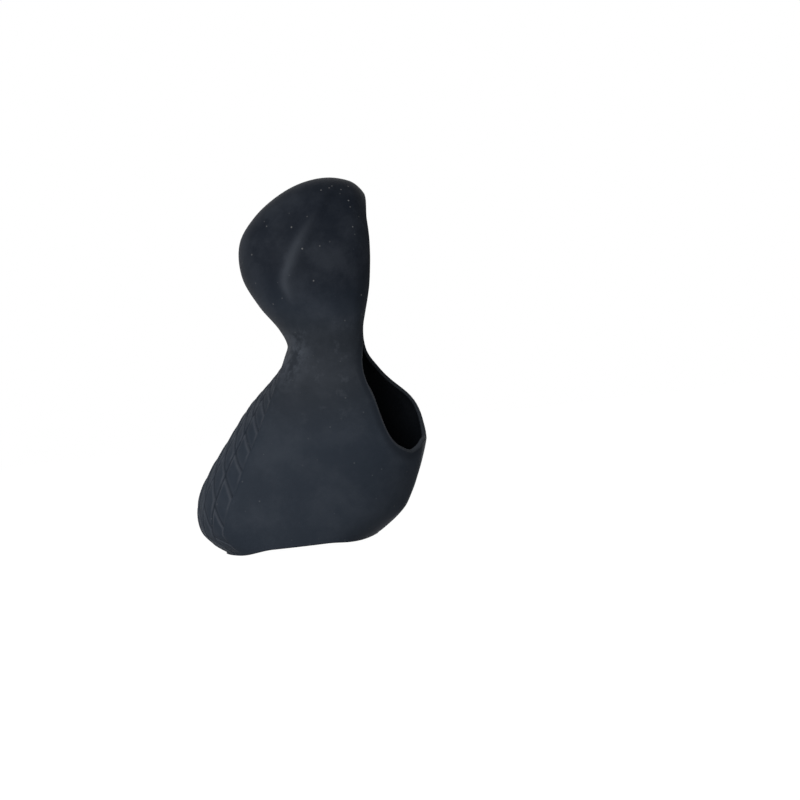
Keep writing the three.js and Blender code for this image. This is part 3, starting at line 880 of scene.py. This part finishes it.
def column_weight(share):
    """Crowds the columns on the grip pattern."""
    start, end = np.radians(GRIP_SPAN) / (2 * np.pi)
    over_grip = hill(share - 0.5, (start - GRIP_MARGIN, start), (end, end + GRIP_MARGIN))
    return 1 + GRIP_CROWDING * over_grip


def outer_row_weight(share):
    """Crowds the rows at the opening's edge and where the grip pattern starts."""
    return 1 + 3.0 * (1 - smooth(share, 0.0, 0.09)) + 2.4 * smooth(share, 0.3, 0.48)


def inner_row_weight(share):
    """Crowds the rows of the inside at the opening's edge."""
    return 1 + 1.5 * (1 - smooth(share, 0.0, 0.2))


def stood_up(points):
    """Points in metres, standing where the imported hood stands."""
    low, high = points.reshape(-1, 3).min(0), points.reshape(-1, 3).max(0)
    middle = (low + high) / 2
    foot = np.array([middle[0], middle[1], low[2]])
    stand = np.array([(cad_low.x + cad_high.x) / 2, (cad_low.y + cad_high.y) / 2, cad_low.z])
    return (points - foot) * MM + stand


def closed_faces(rows, columns):
    """Faces of a grid that is closed both ways."""
    a = np.arange(rows * columns).reshape(rows, columns)
    b = np.roll(a, -1, axis=0)
    return np.stack([a, np.roll(a, -1, axis=1), np.roll(b, -1, axis=1), b], axis=-1).reshape(-1, 4)


def hood_skin_mesh(sizes):
    """The hood's smooth skin as one closed mesh, with the fields that the grip and finish read."""
    form = HoodForm(sizes)
    turns = crowded(SKIN_COLUMNS + 1, column_weight)[:-1] - 0.5
    outer, _, fields = skin_rows(form, turns, crowded(OUTER_ROWS, outer_row_weight))
    _, inner, inner_fields = skin_rows(form, turns, crowded(INNER_ROWS, inner_row_weight))
    down = np.array([0.0, 0.0, -1.0])
    base_bulge = sizes.base_rounding / MM
    base_edge = rounded_edge(outer[-1], inner[-1], down, base_bulge, BASE_EDGE_ROWS)
    away = unit(outer[0] - outer[1])
    bulge = EDGE_BULGE * sizes.opening_edge / MM
    opening_edge = rounded_edge(inner[0], outer[0], away, bulge, OPENING_EDGE_ROWS)
    points = stood_up(np.concatenate([outer, base_edge, inner[::-1], opening_edge]))

    mesh = bpy.data.meshes.new("hood_skin")
    faces = closed_faces(*points.shape[:2])
    mesh.from_pydata(points.reshape(-1, 3).tolist(), [], faces.tolist())
    plain = np.zeros(inner.shape[:2])
    insides = {
        "station": inner_fields["station"][::-1],
        "from_opening": inner_fields["from_opening"][::-1] + INSIDE_OFFSET,
        # Marks the inside, which the finish paints near black as shade.
        "ridge_highlight_inside_shade": plain - 1.0,
    }
    for name, field in fields.items():
        carried = 1.0 if name in ("station", "from_opening") else 0.0
        edge = np.tile(field[-1] * carried, (BASE_EDGE_ROWS, 1))
        rim = np.tile(field[0] * carried, (OPENING_EDGE_ROWS, 1))
        values = np.concatenate([field, edge, insides.get(name, plain), rim])
        attribute = mesh.attributes.new(name, "FLOAT", "POINT")
        attribute.data.foreach_set("value", values.ravel().astype(np.float32))
    mesh.polygons.foreach_set("use_smooth", np.ones(len(mesh.polygons), bool))
    mesh.update()
    return mesh


class HOOD_OT_skin(bpy.types.Operator):
    """Makes the moulded rubber hood with its grip pattern"""

    bl_idname = "hood.skin"
    bl_label = "Make the hood"

    def execute(self, context):
        project = context.scene.lever_hood
        sizes = project.sizes
        hood = bpy.data.objects.new("hood_skin", hood_skin_mesh(sizes))
        context.scene.collection.objects.link(hood)
        group = grip_relief_tree()
        modifier = hood.modifiers.new("grip", "NODES")
        modifier.node_group = group
        rubber = RubberFinish(project.finish).build()
        given = {
            "First Scale": sizes.first_scale / MM,
            "Growth": sizes.scale_growth,
            "Slant": sizes.scale_slant,
            "Groove Width": sizes.groove_width / MM,
            "Groove Depth": sizes.groove_depth / MM,
            "Tilt": sizes.scale_tilt / MM,
            "Recess": sizes.grip_recess / MM,
            "Line Spacing": sizes.line_spacing / MM,
            "Line Depth": sizes.line_depth / MM,
            "Material": rubber,
        }
        for item in group.interface.items_tree:
            if item.in_out == "INPUT" and item.name in given:
                modifier[item.identifier] = given[item.name]
        graph = context.evaluated_depsgraph_get()
        finished = bpy.data.meshes.new_from_object(hood.evaluated_get(graph), depsgraph=graph)
        hood.modifiers.remove(modifier)
        hood.data = finished
        if not finished.materials or "groove" not in finished.attributes:
            raise RuntimeError("the grip pattern was not made")
        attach(hood, "root")
        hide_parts("hood_shell")
        return {"FINISHED"}


def area_lamp(name, place, size, power):
    """A large soft lamp that faces the hood's middle."""
    data = bpy.data.lights.new(name, "AREA")
    data.shape = "SQUARE"
    data.size = size
    data.energy = power
    lamp = bpy.data.objects.new(name, data)
    aim = (cad_low + cad_high) / 2
    lamp.location = place
    lamp.rotation_mode = "QUATERNION"
    lamp.rotation_quaternion = (aim - Vector(place)).to_track_quat("-Z", "Y")
    bpy.context.scene.collection.objects.link(lamp)


def seen_directly(tree):
    """1 for what the camera sees itself or in a reflection, 0 for light on the object."""
    path = tree.node("ShaderNodeLightPath")
    camera = Value(tree, path.outputs["Is Camera Ray"])
    glossy = Value(tree, path.outputs["Is Glossy Ray"])
    through = Value(tree, path.outputs["Is Transmission Ray"])
    return camera.most(glossy).most(through)


class HOOD_OT_studio(bpy.types.Operator):
    """Makes the pale floor, the soft studio light and the camera"""

    bl_idname = "hood.studio"
    bl_label = "Make the studio"

    white = (1.0, 1.0, 1.0, 1.0)
    # The floor glows a little over white, so that only the hood's shadow shows on it.
    floor_glow = 1.06
    key_place, fill_place, back_place = (-0.3, -0.62, 0.28), (0.5, -0.55, 0.2), (0.1, 0.45, 0.6)
    front_lamp_size, back_lamp_size = 0.5, 0.6
    # The camera stands right of the hood and below its middle, so that the hood is left of the
    # picture's middle and above it.
    camera_x, camera_z = 0.027, 0.0377
    clip_start, clip_end = 0.01, 20.0

    def execute(self, context):
        studio = context.scene.lever_hood.studio
        self.make_floor(context, studio)
        self.make_world(context, studio)
        area_lamp("key_lamp", self.key_place, self.front_lamp_size, studio.key_power)
        area_lamp("fill_lamp", self.fill_place, self.front_lamp_size, studio.fill_power)
        area_lamp("back_lamp", self.back_place, self.back_lamp_size, studio.back_power)
        self.make_camera(context, studio)
        context.scene.view_settings.view_transform = "Standard"
        return {"FINISHED"}

    def make_floor(self, context, studio):
        half = studio.floor_size / 2
        mesh = bpy.data.meshes.new("floor")
        corners = ((-half, -half), (half, -half), (half, half), (-half, half))
        mesh.from_pydata([(x, y, cad_low.z) for x, y in corners], [], [(0, 1, 2, 3)])
        floor = bpy.data.objects.new("floor", mesh)
        context.scene.collection.objects.link(floor)
        material, tree = material_tree("pale_floor")
        matte = tree.node("ShaderNodeBsdfDiffuse", None, {"Color": studio.floor_colour})
        glow = tree.node("ShaderNodeEmission", None, {"Color": self.white, "Strength": self.floor_glow})
        share = seen_directly(tree) * (1.0 - studio.shadow)
        links = {0: share, 1: matte.outputs[0], 2: glow.outputs[0]}
        both = tree.node("ShaderNodeMixShader", None, links)
        tree.node("ShaderNodeOutputMaterial", None, {"Surface": both.outputs[0]})
        mesh.materials.append(material)

    def make_world(self, context, studio):
        world = bpy.data.worlds.new("white_room")
        world.use_nodes = True
        world.node_tree.nodes.clear()
        tree = Tree(world.node_tree)
        strength = seen_directly(tree) * (1.0 - studio.world_light) + studio.world_light
        room = tree.node("ShaderNodeBackground", None, {"Color": self.white, "Strength": strength})
        tree.node("ShaderNodeOutputWorld", None, {"Surface": room.outputs[0]})
        context.scene.world = world

    def make_camera(self, context, studio):
        data = bpy.data.cameras.new("camera")
        data.lens = data.sensor_width * studio.camera_distance / studio.view_width
        data.clip_start, data.clip_end = self.clip_start, self.clip_end
        camera = bpy.data.objects.new("camera", data)
        context.scene.collection.objects.link(camera)
        c, s = np.cos(studio.camera_roll), np.sin(studio.camera_roll)
        turn = Matrix(((c, s, 0.0), (0.0, 0.0, -1.0), (-s, c, 0.0))).to_quaternion()
        place = Vector((self.camera_x, -studio.camera_distance, self.camera_z))
        camera.matrix_world = Matrix.LocRotScale(place, turn, None)
        context.scene.camera = camera


class HOOD_PT_panel(bpy.types.Panel):
    """Lists the steps and their settings"""

    bl_idname = "HOOD_PT_panel"
    bl_label = "Lever hood"
    bl_space_type = "VIEW_3D"
    bl_region_type = "UI"
    bl_category = "Lever hood"

    def draw(self, context):
        project = context.scene.lever_hood
        self.layout.operator("hood.skin")
        self.layout.operator("hood.studio")
        for settings in (project.sizes, project.finish, project.studio):
            box = self.layout.box()
            for name in settings.__annotations__:
                box.prop(settings, name)


CLASSES = (
    HoodSizes,
    HoodFinish,
    StudioSettings,
    LeverHoodProject,
    HOOD_OT_skin,
    HOOD_OT_studio,
    HOOD_PT_panel,
)


def register():
    for item in CLASSES:
        bpy.utils.register_class(item)
    bpy.types.Scene.lever_hood = bpy.props.PointerProperty(type=LeverHoodProject)


def unregister():
    del bpy.types.Scene.lever_hood
    for item in reversed(CLASSES):
        bpy.utils.unregister_class(item)


def main():
    register()
    bpy.ops.hood.skin()
    bpy.ops.hood.studio()


if __name__ == "__main__":
    main()
